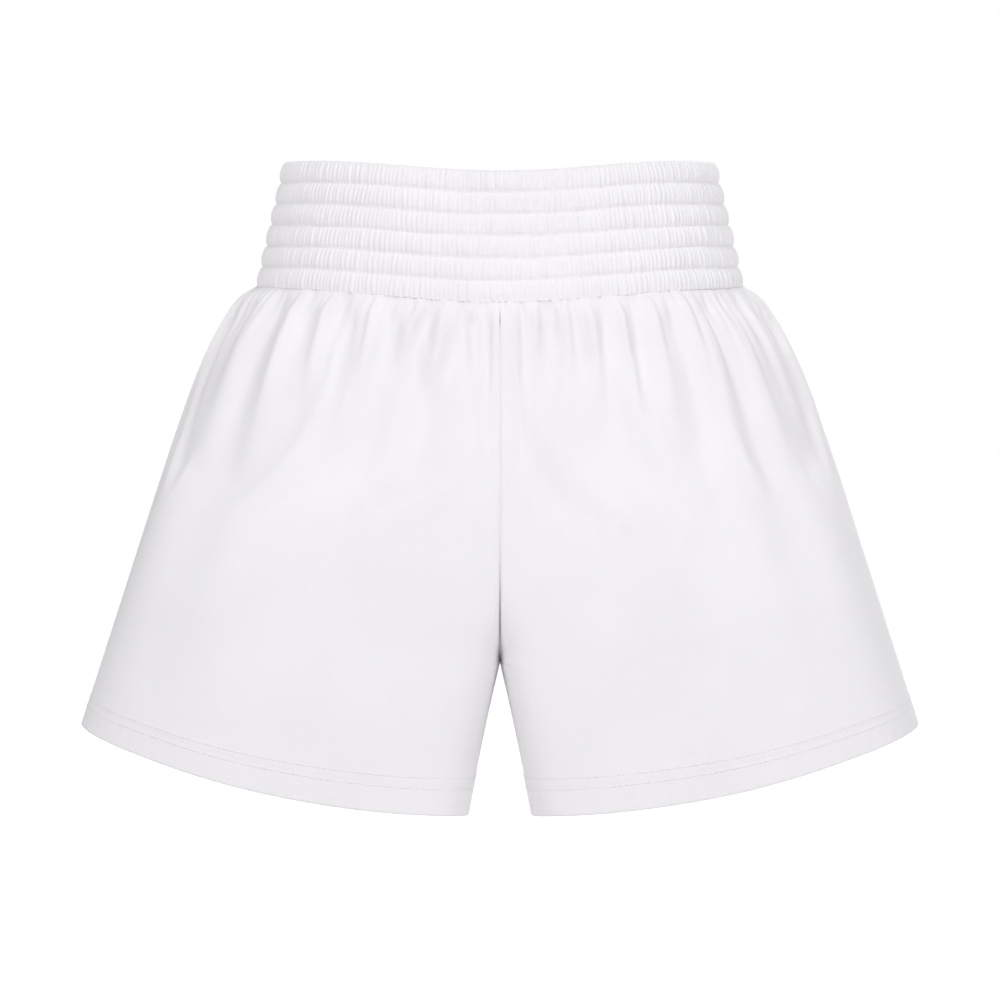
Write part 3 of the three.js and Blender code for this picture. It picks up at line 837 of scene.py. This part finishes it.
    def build(self) -> None:
        """Makes the whole waistband."""
        self.build_elastics()
        self.build_casing()
        self.build_stitches()
        self.build_seam()
        self.build_label()


# ---- Legs --------------------------------------------------------------------------------------


@dataclass(frozen=True)
class Fold:
    """A soft valley that falls from the waist seam.

    at is its distance round from the centre seam in millimetres at the waist, more to the wearer's left.
    drift is how far it wanders from the cloth's own flare by its end, outwards if positive. sway is how
    far it bends to and fro on the way.
    """

    at: float
    depth: float
    width: float
    length: float
    drift: float = 0.0
    sway: float = 0.0


FRONT_FOLDS = (
    Fold(-190, 2.6, 4.4, 170, -4), Fold(-166, 2.2, 2.8, 60), Fold(-138, 5.2, 4.6, 200, -3, 2),
    Fold(-112, 4.0, 3.0, 90, 0, 2), Fold(-90, 5.0, 3.4, 66, 2, 2), Fold(-77, 3.0, 2.4, 34, 3),
    Fold(-64, 4.2, 3.4, 105, 10, 5), Fold(-51, 3.4, 2.6, 56, 4, -3), Fold(-36, 4.2, 3.0, 84, 8, -6),
    Fold(-21, 4.2, 2.8, 62, 16, 3), Fold(-9, 2.2, 2.2, 30, 4),
    Fold(12, 3.0, 2.6, 56, 0, 1), Fold(26, 3.6, 3.0, 92, 0, 1), Fold(41, 3.2, 2.6, 60, 2),
    Fold(58, 4.2, 3.4, 160, -4, 1), Fold(75, 4.0, 3.4, 150, -5, -1), Fold(99, 4.6, 4.0, 190, 1, 1),
    Fold(115, 3.4, 2.6, 38), Fold(127, 4.9, 4.2, 230, 2, 1), Fold(140, 3.0, 2.4, 40),
    Fold(156, 3.0, 2.8, 80), Fold(177, 3.2, 4.0, 140, 1),
)


@dataclass
class Legs:
    """Both legs' cloth, draped once and cut into its four panels, with hems and seams."""

    wardrobe: Wardrobe
    cloth: float = 0.8
    hem_depth: float = 21.5
    turnup_cut: tuple[float, float] = (0.776, 0.0215)
    needles: tuple[float, float] = (15.0, 20.0)
    roll: float = 1.05
    facing_inward: float = 1.45
    facing_cloth: float = 0.7
    drape_rows: int = 84
    drape_columns: int = 62
    panel_rows: int = 128
    panel_columns: int = 190
    drape_frames: int = 18
    cap: float = 7.0
    seed: int = 17
    drape: dict = field(default_factory=dict)

    def waist_quarter(self, front: bool) -> float:
        """The waist seam's length from the centre to the side.

        Args:
            front: whether it is the front.

        Returns:
            The length in millimetres.
        """
        t = np.linspace(0, 1, 200)
        line = FORM.leg_points(np.zeros(200), t, front)
        return float(np.linalg.norm(np.diff(line, axis=0), axis=1).sum())

    def inner_levels(self) -> tuple[np.ndarray, np.ndarray, float]:
        """How the inner edge's length runs with the level.

        Returns:
            Levels down the edge, the share of its length at each, and the crotch's share.
        """
        above = FORM.crotch_level * (1 - np.linspace(1, 0, 400) ** 2.5)
        lines = []
        for front in (True, False):
            lines.append(FORM.leg_points(above, np.ones(400), front))
        steps = np.mean([np.linalg.norm(np.diff(line, axis=0), axis=1) for line in lines], axis=0)
        below = np.linspace(FORM.crotch_level, 1, 60)[1:]
        inseam = FORM.leg_points(np.r_[FORM.crotch_level, below], np.ones(60), True)
        steps = np.r_[steps, np.linalg.norm(np.diff(inseam, axis=0), axis=1)]
        along = np.r_[0, np.cumsum(steps)]
        return np.r_[above, below], along / along[-1], float(along[399] / along[-1])

    def levels(self, down: np.ndarray, from_side: np.ndarray) -> np.ndarray:
        """Returns the level of each point of a grid whose rows run evenly down every edge.

        Args:
            down: each row's share of the way down, from 0 to 1.
            from_side: each column's share of the way from the side to the inner edge.

        Returns:
            The levels, rows by columns.
        """
        values, shares, _ = self.inner_levels()
        inner = np.interp(down, shares, values)
        return lerp(down[:, None], inner[:, None], from_side[None, :])

    def fold_relief(self, level: np.ndarray, across: np.ndarray, front: bool, side: int) -> np.ndarray:
        """How far the cloth stands out from its mean surface in the folds.

        Args:
            level: each point's level.
            across: each point's share of the way from the inner edge to the side.
            front: whether this is the front.
            side: 1 for the wearer's left and -1 for the right.

        Returns:
            The relief in millimetres, outwards.
        """
        quarter = self.waist_quarter(front)
        down = level * FORM.side_drop
        place = side * across * quarter
        if front:
            folds = FRONT_FOLDS
        else:
            rng = np.random.default_rng(self.seed)
            places = np.cumsum(rng.uniform(11, 24, 26)) - quarter - 6
            spans = ((2.0, 5.0), (2.6, 4.2), (40, 190), (-5, 5))
            folds = tuple(
                Fold(at, *(rng.uniform(low, high) for low, high in spans))
                for at in places
                if abs(at) < quarter
            )
        relief = np.zeros_like(down)
        begin = 1 - np.exp(-down / 8.0)
        for fold in folds:
            gone = np.clip(down / fold.length, 0, None)
            fade = np.exp(-(gone**2) * 0.7)
            width = fold.width * (1 + 1.7 * np.minimum(gone, 1.7))
            where = fold.at + np.sign(fold.at) * fold.drift * np.minimum(gone, 1.3) ** 1.5
            where = where + fold.sway * np.sin(gone * 5)
            gap = (place - where) / width
            valley = np.exp(-(gap**2) / 2)
            ridges = np.exp(-((gap - 2.3) ** 2) / 3) + np.exp(-((gap + 2.3) ** 2) / 3)
            relief += fold.depth * fade * begin * (0.38 * ridges - valley)
        deepest = 1.5 + 0.4 * down
        return np.where(relief < 0, deepest * np.tanh(relief / deepest), relief)

    def surface(self, down: np.ndarray, across: np.ndarray, front: bool, side: int) -> tuple:
        """The folded cloth before draping.

        Args:
            down: each row's share of the way down.
            across: each column's share of the way from the inner edge to the side.
            front: whether this is the front.
            side: 1 for the wearer's left and -1 for the right.

        Returns:
            The points, the normals and the levels, for the left leg's place.
        """
        level = self.levels(down, 1 - across)
        points = FORM.leg_points(level, np.broadcast_to(1 - across, level.shape), front)
        normals = grid_normals(points, flip=not front)
        relief = self.fold_relief(level, np.broadcast_to(across, level.shape), front, side)
        quarter = self.waist_quarter(front)
        edge = (smoothstep(across * quarter / 9) * smoothstep((1 - across) * quarter / 9))[None, :]
        centre = smoothstep((0.1 - down) * 10)[:, None] * (1 - across[None, :]) ** 2 * 0.25
        quiet = lerp(edge, 1.0, centre)
        return points + normals * (relief * quiet)[..., None], normals, level

    def drape_across(self) -> np.ndarray:
        """Returns the drape's columns, as shares of the way from the inner edge to the side."""
        wall = np.linspace(0, FORM.wall_share, 13)
        return np.r_[wall, np.linspace(FORM.wall_share, 1, self.drape_columns - 11)[1:]]

    def run_drape(self) -> None:
        """Drapes the cloth: cut wider than its place and held at its seams, it buckles and hangs."""
        n = self.drape_columns
        down = np.linspace(0, 1, self.drape_rows)
        across = self.drape_across()
        crotch = self.inner_levels()[2]
        points, faces, held, cut, sizes = [], [], [], [], []
        for side in (1, -1):
            front, _, front_level = self.surface(down, across, True, side)
            back, _, back_level = self.surface(down, across, False, side)
            grid = np.concatenate([front, back[:, ::-1][:, 1:]], axis=1)
            level = np.concatenate([front_level, back_level[:, ::-1][:, 1:]], axis=1)
            share = np.r_[across, across[::-1][1:]][None, :]
            middle = grid.mean(axis=1, keepdims=True)
            wide = 1 + 0.15 * np.exp(-level * 2.4) + 0.006
            rest = grid.copy()
            rest[..., :2] = middle[..., :2] + (grid - middle)[..., :2] * wide[..., None]
            rest[..., 2] = grid[..., 2]
            seam = np.exp(-((share * 200 / 5) ** 2)) + np.exp(-(((1 - share) * 200 / 5) ** 2))
            hold = 0.08 + 0.5 * seam + 0.45 * np.exp(-((1 - level) * 265 / 18)) + 0.9 * (level < 0.004)
            hold = np.clip(hold + 0.4 * smoothstep((level - 0.3) / 0.4), 0, 0.95)
            hold[0] = 1
            hold[:, [0, n, -1]] = 1
            rows, columns = grid.shape[:2]
            number = np.arange(rows * columns).reshape(rows, columns)
            number[down >= crotch, -1] = number[down >= crotch, 0]
            base = sum(sizes)
            r, c = np.meshgrid(np.arange(rows - 1), np.arange(columns - 1), indexing="ij")
            quads = np.stack([number[r, c], number[r + 1, c], number[r + 1, c + 1], number[r, c + 1]], -1)
            quads = quads.reshape(-1, 4) + base
            mirror = np.array([side, 1, 1])
            points.append((grid * mirror).reshape(-1, 3))
            cut.append((rest * mirror).reshape(-1, 3))
            held.append(hold.ravel())
            faces += (quads if side == 1 else quads[:, ::-1]).tolist()
            sizes.append(rows * columns)
        start = np.vstack(points)
        done = self.simulate(start, faces, np.hstack(held), np.vstack(cut))
        moved = done - start
        size = np.linalg.norm(moved, axis=1, keepdims=True)
        moved = moved * np.minimum(1, self.cap / np.maximum(size, 1e-9))
        LOG.info("the drape moved the cloth by %.2f mm on average", float(size.mean()))
        for side, part in zip((1, -1), np.split(moved, [sizes[0]])):
            self.drape[side] = part.reshape(self.drape_rows, 2 * n + 1, 3) * np.array([side, 1, 1])

    def simulate(self, start: np.ndarray, faces: list, held: np.ndarray, cut: np.ndarray) -> np.ndarray:
        """Runs the cloth simulation.

        Args:
            start: the cloth's points in millimetres.
            faces: its quads.
            held: how firmly each point is held, from 0 to 1.
            cut: where the points lie on the wider cloth as cut.

        Returns:
            The points after draping, in millimetres.
        """
        piece = make_piece("drape", start, faces)
        group = piece.vertex_groups.new(name="held")
        for value in np.unique(np.round(held, 2)):
            group.add(np.nonzero(np.round(held, 2) == value)[0].tolist(), float(value), "REPLACE")
        piece.shape_key_add(name="worn")
        key = piece.shape_key_add(name="cut")
        key.data.foreach_set("co", (cut * MM).ravel())
        key.value = 0
        cloth = piece.modifiers.new("drape", "CLOTH")
        settings = cloth.settings
        settings.quality = 6
        settings.mass = 0.15
        settings.tension_stiffness = settings.compression_stiffness = 12
        settings.shear_stiffness = 4
        settings.bending_stiffness = 0.25
        settings.tension_damping = settings.compression_damping = 8
        settings.air_damping = 2
        settings.vertex_group_mass = "held"
        settings.pin_stiffness = 1.5
        settings.rest_shape_key = key
        settings.effector_weights.gravity = 0.6
        cloth.collision_settings.use_collision = False
        scene = bpy.context.scene
        cloth.point_cache.frame_start, cloth.point_cache.frame_end = 1, self.drape_frames
        for number in range(1, self.drape_frames + 1):
            scene.frame_set(number)
        result = piece.evaluated_get(bpy.context.evaluated_depsgraph_get()).to_mesh()
        out = np.empty(len(start) * 3)
        result.vertices.foreach_get("co", out)
        mesh = piece.data
        bpy.data.objects.remove(piece)
        bpy.data.meshes.remove(mesh)
        scene.frame_set(1)
        return out.reshape(-1, 3) / MM

    @staticmethod
    def spline(where: np.ndarray, count: int) -> tuple[np.ndarray, np.ndarray]:
        """Weights of a smooth curve through a row of values.

        Args:
            where: places along the row.
            count: how many values it has.

        Returns:
            Each place's four neighbours, and their weights.
        """
        i = np.clip(np.floor(where).astype(int), 0, count - 2)
        f = (where - i)[:, None]
        weights = np.hstack([(1 - f) ** 3, 3 * f**3 - 6 * f**2 + 4, -3 * f**3 + 3 * f**2 + 3 * f + 1, f**3])
        return np.clip(i[:, None] + np.arange(-1, 3), 0, count - 1), weights / 6

    def draped(self, down: np.ndarray, across: np.ndarray, front: bool, side: int) -> np.ndarray:
        """How far the drape moved the cloth.

        Args:
            down: each row's share of the way down.
            across: each column's share of the way from the inner edge to the side.
            front: whether this is the front.
            side: 1 for the wearer's left and -1 for the right.

        Returns:
            The movement at each point of the panel's grid.
        """
        grid = self.drape[side]
        n = self.drape_columns
        column = np.interp(across, self.drape_across(), np.arange(n + 1))
        column = column if front else 2 * n - column
        i, w = self.spline(down * (self.drape_rows - 1), self.drape_rows)
        rows = np.einsum("rk,rkcd->rcd", w, grid[i])
        i, w = self.spline(column, 2 * n + 1)
        return np.einsum("ck,rckd->rcd", w, rows[:, i])

    def panel_grid(self, front: bool, side: int) -> tuple:
        """A panel's finished surface.

        Args:
            front: whether this is a front panel.
            side: 1 for the wearer's left and -1 for the right.

        Returns:
            The points, their outward normals, flat coordinates, and each row's height above the hem's
            edge, all in millimetres, in the left leg's place.
        """
        hem = self.hem_depth + 3
        drop = FORM.side_drop
        crotch = self.inner_levels()[2]
        top = np.r_[0, np.cumsum(np.linspace(0.5, 1.6, 34))] / drop
        foot = 1 - np.linspace(hem, self.roll, 36) / drop
        above = np.linspace(top[-1], crotch, self.panel_rows - 70 - 28)[1:]
        below = np.linspace(crotch, foot[0], 28)[1:-1]
        down = np.r_[top, above, below, foot]
        near = np.r_[0, 0.5, 1.1, 1.8, 2.7, 3.8, 5.0] / 230
        across = np.linspace(0, FORM.wall_share, 40)[1:]
        face = np.linspace(across[-1], 1 - near[-1], self.panel_columns - 34)[1:-1]
        across = np.r_[0, near[1] / 2, across, face, 1 - near[::-1]]
        points, normals, level = self.surface(down, across, front, side)
        points = points + self.draped(down, across, front, side)
        points[..., 0] = np.maximum(points[..., 0], 0.02)
        normals = grid_normals(points, flip=not front)
        quarter = self.waist_quarter(front)
        place = across[None, :] * quarter
        below_seam = level * drop
        rng = np.random.default_rng(self.seed + 3 * side + (11 if front else 0))
        tucks = np.zeros_like(level)
        spot = 2.0
        while spot < quarter - 2:
            size, reach = rng.uniform(0.6, 1.8), rng.uniform(0, 1) ** 1.6 * 65 + 8
            lean = rng.uniform(-0.1, 0.1)
            gap = (place - spot - lean * below_seam) / (rng.uniform(0.9, 1.7) * (1 + below_seam / 50))
            tucks -= size * np.exp(-(gap**2) / 2) * np.exp(-((below_seam / reach) ** 2))
            spot += rng.uniform(2.6, 7.5)
        edge_in = np.linalg.norm(points - points[:, :1], axis=-1)
        edge_side = np.linalg.norm(points - points[:, -1:], axis=-1)
        pull = lerp(0.35, 0.9, smoothstep(below_seam / 120))
        seam = -pull * np.exp(-((edge_in / 1.0) ** 2)) - 0.55 * np.exp(-((edge_side / 1.3) ** 2))
        if not front:
            seam = seam + 0.3 * np.exp(-(((edge_side - 5) / 4) ** 4))
        high = (1 - level) * drop
        pucker = np.sin(place * 2 * np.pi / 7.3 + 2 * np.sin(place / 11)) * 0.1
        hem_wave = pucker * np.exp(-(((high - 9) / 10) ** 2))
        lines = sum(-0.14 * np.exp(-(((high - n) / 0.8) ** 2)) for n in self.needles)
        step = 0.3 * (1 / (1 + np.exp((high - self.hem_depth) / 0.6)))
        tucks *= (1 - np.exp(-below_seam / 1.0)) * smoothstep((quarter - place) / 4)
        relief = np.maximum(tucks, -1.2 - 0.15 * below_seam) + seam + hem_wave + lines + step
        lap = np.exp(-below_seam / 1.1)
        points = points + normals * relief[..., None]
        out = unit(np.stack([points[..., 0], points[..., 1] * 1.9, 0 * level], -1))
        points = points + lap[..., None] * (out * 1.1 + np.array([0, 0, 0.9]))
        points[..., 0] = np.maximum(points[..., 0], 0.02)
        walk_u = np.broadcast_to(across[None, :] * 260, level.shape)
        walk_v = np.broadcast_to(down[:, None] * 330, level.shape)
        return points, grid_normals(points, flip=not front), np.stack([walk_u, walk_v], -1), high

    def rolled(self, points: np.ndarray, normals: np.ndarray) -> np.ndarray:
        """Adds the hem's folded edge below a panel's last row.

        Args:
            points: the panel's grid.
            normals: its outward normals.

        Returns:
            The longer grid.
        """
        edge, last = points[-1], unit(points[-1] - points[-3])
        rows = []
        for angle in np.linspace(0, math.pi, 8)[1:]:
            rows.append(
                edge + last * self.roll * math.sin(angle) - normals[-1] * self.roll * (1 - math.cos(angle))
            )
        return np.concatenate([points, np.array(rows)])

    def build_panels(self) -> None:
        """Makes the four panels, the hem facings and the hems' stitches."""
        for side, name in ((1, "left"), (-1, "right")):
            mirror = np.array([side, 1, 1])
            rings = {}
            for front, where in ((True, "front"), (False, "back")):
                points, normals, uvs, high = self.panel_grid(front, side)
                rings[where] = (points, normals, high)
                grid = self.rolled(points, normals)
                extra = np.stack([uvs[-1] + np.array([0, 0.5 * k]) for k in range(1, 8)])
                flat = np.concatenate([uvs, extra])
                rows, columns = grid.shape[:2]
                faces = grid_faces(rows, columns, flip=(front != (side == 1)))
                piece = make_piece(f"{name}_{where}_cloth", grid * mirror, faces, flat)
                thicken(piece, self.cloth)
                self.wardrobe.dress(piece, SHELL_KNIT)
                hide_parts(f"{name}_{where}_panel")
            self.build_hem(name, side, rings)

    def build_hem(self, name: str, side: int, rings: dict) -> None:
        """Makes one leg's turned-up facing and its two rows of needle stitches.

        Args:
            name: left or right, the wearer's.
            side: 1 for the wearer's left and -1 for the right.
            rings: the front and back panels' points, normals and heights above the edge.
        """
        mirror = np.array([side, 1, 1])

        def ring(height: float, inward: float) -> tuple[np.ndarray, np.ndarray]:
            """A closed line round the hem.

            Args:
                height: how far above the edge.
                inward: how far inward of the cloth.

            Returns:
                The line's points and their normals.
            """
            lines, leans = [], []
            for where, order in (("front", 1), ("back", -1)):
                points, normals, high = rings[where]
                row = int(np.argmin(np.abs(high[:, 0] - height)))
                lines.append((points[row] - normals[row] * inward)[::order])
                leans.append(normals[row][::order])
            return np.vstack(lines), np.vstack(leans)

        heights = np.linspace(self.hem_depth, self.roll + 0.1, 26)
        rows = [ring(h, self.facing_inward)[0] for h in heights]
        grid = np.array(rows) * mirror
        along = np.r_[0, np.cumsum(np.linalg.norm(np.diff(grid[0], axis=0), axis=1))]
        uvs = np.stack(np.broadcast_arrays(along[None, :], heights[:, None]), -1)
        faces = grid_faces(*grid.shape[:2], flip=side == -1, round_it=True)
        facing = make_piece(f"{name}_hem_turnup", grid, faces, uvs)
        thicken(facing, self.facing_cloth)
        self.wardrobe.dress(facing, FACING_KNIT)
        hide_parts(f"{name}_hem_facing")
        sewing = Stitching(length=2.7, gap=0.6, radius=0.24, sunk=0.16)
        for number, height in enumerate(self.needles):
            line, lean = ring(height, 0.0)
            stitches = sewing.sew(f"{name}_hem_needle_{number + 1}", line * mirror, lean * mirror)
            self.wardrobe.dress(stitches, THREAD)
            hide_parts(f"{name}_hem_stitch_{number + 1}")

    def fin(self, name: str, line: np.ndarray, inward: np.ndarray, across: np.ndarray) -> bpy.types.Object:
        """Makes a seam's overlocked edge, standing in from the seam.

        Args:
            name: the piece's name.
            line: the seam's points in millimetres.
            inward: the direction in from the seam at each point.
            across: the direction across the fin, one for all.

        Returns:
            The new piece.
        """
        along = np.r_[0, np.cumsum(np.linalg.norm(np.diff(line, axis=0), axis=1))]
        count = max(12, int(along[-1] / 0.55))
        s = np.linspace(0, along[-1], count)
        line = np.stack([np.interp(s, along, line[:, k]) for k in range(3)], -1)
        inward = unit(np.stack([np.interp(s, along, inward[:, k]) for k in range(3)], -1))
        scallop = 0.3 * np.abs(np.sin(s * np.pi / 2.2))
        rim = []
        for a in np.linspace(0, 2 * np.pi, 14, endpoint=False):
            out = 1.5 + 4.0 * (1 - math.cos(a)) + scallop * (1 - math.cos(a)) / 2
            thick = 0.55 * math.sin(a) + 0.0 * s
            loops = 0.12 * np.sin(s * 2 * np.pi / 2.2 + 2 * math.cos(a)) * math.sin(a)
            rim.append(line + inward * out[:, None] + across * (thick + loops)[:, None])
        grid = np.array(rim)
        faces = grid_faces(len(rim), count)
        last = (len(rim) - 1) * count
        faces += [[last + c, c, c + 1, last + c + 1] for c in range(count - 1)]
        starts = [r * count for r in range(len(rim))]
        faces += [starts, [n + count - 1 for n in starts][::-1]]
        width = np.linspace(0, 17, len(rim))
        uvs = np.stack(np.broadcast_arrays(s[None, :], width[:, None]), -1)
        piece = make_piece(name, grid, faces, uvs)
        bpy.context.view_layer.objects.active = piece
        bpy.ops.object.select_all(action="DESELECT")
        piece.select_set(True)
        bpy.ops.object.mode_set(mode="EDIT")
        bpy.ops.mesh.select_all(action="SELECT")
        bpy.ops.mesh.normals_make_consistent(inside=False)
        bpy.ops.object.mode_set(mode="OBJECT")
        return piece

    def build_seams(self) -> None:
        """Makes the overlocked edges of the side seams, inseams and centre seam."""
        top, foot = 9.0 / FORM.side_drop, 1 - (self.hem_depth + 1) / FORM.side_drop
        level = np.linspace(top, foot, 60)
        side_line = FORM.leg_points(level, np.zeros(60), True) * np.array([1, 0, 1])
        start = FORM.crotch_level + 8 / FORM.side_drop
        level = np.linspace(start, foot, 20)
        inseam = FORM.leg_points(level, np.ones(20), True) * np.array([1, 0, 1])
        across = np.array([0.0, 1.0, 0.0])
        for side, name in ((1, "left"), (-1, "right")):
            mirror = np.array([side, 1, 1])
            for line, kind, turn in ((side_line, "side_seam", -1), (inseam, "inseam", 1)):
                along = unit(np.gradient(line, axis=0))
                inward = np.stack([-along[:, 2], 0 * along[:, 1], along[:, 0]], -1) * turn
                piece = self.fin(f"{name}_{kind}_overlock", line * mirror, inward * mirror, across)
                self.wardrobe.dress(piece, OVERLOCK)
                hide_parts(f"{name}_{kind}_allowance")
        level = lerp(top, FORM.crotch_level, 1 - np.linspace(1, 0, 80) ** 2.5)
        front = FORM.leg_points(level, np.ones(80), True)
        back = FORM.leg_points(level, np.ones(80), False)[::-1]
        line = np.vstack([front[:-1], back]) * np.array([0, 1, 1])
        along = unit(np.gradient(line, axis=0))
        inward = np.stack([0 * along[:, 0], -along[:, 2], along[:, 1]], -1)
        piece = self.fin("centre_seam_overlock", line, inward, np.array([1.0, 0.0, 0.0]))
        self.wardrobe.dress(piece, OVERLOCK)
        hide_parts("rise_seam_allowance")

    def build_care_label(self) -> None:
        """Makes the blank care label, caught in the wearer's left side seam inside the back."""
        rows, columns, width, height = 36, 22, 28, 50
        # It hangs from 95 mm below the waist seam, on a back row of about 290 mm.
        level = np.linspace(95, 142.5, rows) / FORM.side_drop
        out = np.linspace(0, 25.2, columns)
        share = (1.2 + out) / 290.0
        grid = FORM.leg_points(
            np.broadcast_to(level[:, None], (rows, columns)), np.broadcast_to(share, (rows, columns)), False
        )
        normals = grid_normals(grid, flip=False)
        curl = 0.5 * smoothstep(np.linspace(-0.5, 1, columns))[None, :]
        curl = curl + 0.2 * np.sin(np.linspace(0, 5, rows))[:, None]
        inside = np.where((normals[..., 1:2] > 0), -normals, normals)
        # It leans in from the seam, so that it hangs clear of the cloth's folds.
        lean = 10 * smoothstep(out / 12)[None, :]
        grid = grid + inside * (1.9 + lean + curl)[..., None]
        uvs = np.stack(np.meshgrid(np.linspace(0, width, columns), np.linspace(0, height, rows)), -1)
        piece = make_piece("care_label_blank", grid, grid_faces(rows, columns, flip=True), uvs)
        thicken(piece, 0.3)
        self.wardrobe.dress(piece, SATIN)
        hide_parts("care_label")

    def build(self) -> None:
        """Makes both legs."""
        self.run_drape()
        self.build_panels()
        self.build_seams()
        self.build_care_label()


# ---- Studio ------------------------------------------------------------------------------------


@dataclass
class Studio:
    """A pale floor, soft lights and the camera."""

    distance: float = 2.0
    field: float = 0.61
    eye_height: float = -0.206
    floor_drop: float = 1.0

    def camera(self) -> None:
        """Places the camera level with the garment's middle, straight in front."""
        data = bpy.data.cameras.new("camera")
        data.sensor_width = 36
        data.lens = 36 * self.distance / self.field
        camera = bpy.data.objects.new("camera", data)
        camera.location = (0, -self.distance, self.eye_height)
        camera.rotation_euler = (math.pi / 2, 0, 0)
        bpy.context.collection.objects.link(camera)
        bpy.context.scene.camera = camera

    def light(self, name: str, place: tuple[float, float, float], size: float, power: float) -> None:
        """Adds a soft square light that faces the garment.

        Args:
            name: the light's name.
            place: where it stands, in metres.
            size: its side, in metres.
            power: its power in watts.
        """
        data = bpy.data.lights.new(name, "AREA")
        data.shape = "SQUARE"
        data.size = size
        data.energy = power
        lamp = bpy.data.objects.new(name, data)
        lamp.location = place
        aim = Vector((0, 0, self.eye_height)) - Vector(place)
        lamp.rotation_euler = aim.to_track_quat("-Z", "Y").to_euler()
        bpy.context.collection.objects.link(lamp)

    def floor(self) -> None:
        """Lays the plain pale floor."""
        bpy.ops.object.select_all(action="DESELECT")
        bpy.ops.mesh.primitive_circle_add(
            vertices=64, radius=12, fill_type="NGON", location=(0, 0, -self.floor_drop)
        )
        floor = bpy.context.object
        floor.name = "floor"
        material = bpy.data.materials.new("pale_floor")
        material.use_nodes = True
        tree = material.node_tree
        tree.nodes.clear()
        paint = add_node(tree, "ShaderNodeBsdfDiffuse", {"Color": hex_to_linear("f4f4f4")})
        glow = add_node(tree, "ShaderNodeEmission", {"Strength": 0.95})
        total = add_node(tree, "ShaderNodeAddShader", _0=paint.outputs[0], _1=glow.outputs[0])
        seen = add_node(tree, "ShaderNodeLightPath").outputs["Is Camera Ray"]
        pick = add_node(tree, "ShaderNodeMixShader", _0=seen, _1=paint.outputs[0], _2=total.outputs[0])
        add_node(tree, "ShaderNodeOutputMaterial", Surface=pick.outputs[0])
        floor.data.materials.append(material)

    def sky(self) -> None:
        """Sets the white surroundings: full white to the eye, softer as light."""
        world = bpy.data.worlds.new("studio")
        bpy.context.scene.world = world
        world.use_nodes = True
        tree = world.node_tree
        tree.nodes.clear()
        soft = add_node(tree, "ShaderNodeBackground", {"Strength": 0.27})
        white = add_node(tree, "ShaderNodeBackground", {"Strength": 1.0})
        for node in (soft, white):
            node.inputs["Color"].default_value = (1, 1, 1, 1)
        seen = add_node(tree, "ShaderNodeLightPath").outputs["Is Camera Ray"]
        pick = add_node(tree, "ShaderNodeMixShader", _0=seen, _1=soft.outputs[0], _2=white.outputs[0])
        add_node(tree, "ShaderNodeOutputWorld", Surface=pick.outputs[0])

    def build(self) -> None:
        """Sets up the whole studio."""
        self.camera()
        self.sky()
        self.floor()
        self.light("key", (-1.6, -2.6, 2.2), 1.4, 60)
        self.light("second", (1.8, -2.7, 1.8), 1.8, 54)
        self.light("side_left", (-3.1, 0.6, 0.6), 1.8, 9)
        self.light("side_right", (3.1, 0.6, 0.6), 1.8, 12)
        self.light("back", (0.9, 3.0, 1.9), 1.8, 66)
        bpy.context.scene.view_settings.view_transform = "Standard"
        bpy.context.scene.view_settings.look = "None"


def main() -> None:
    """Builds the studio and the garment in order and reports each piece."""
    logging.basicConfig(level=logging.INFO, format="%(name)s: %(message)s")
    Studio().build()
    wardrobe = Wardrobe()
    Waistband(wardrobe).build()
    Legs(wardrobe).build()


if __name__ == "__main__":
    main()
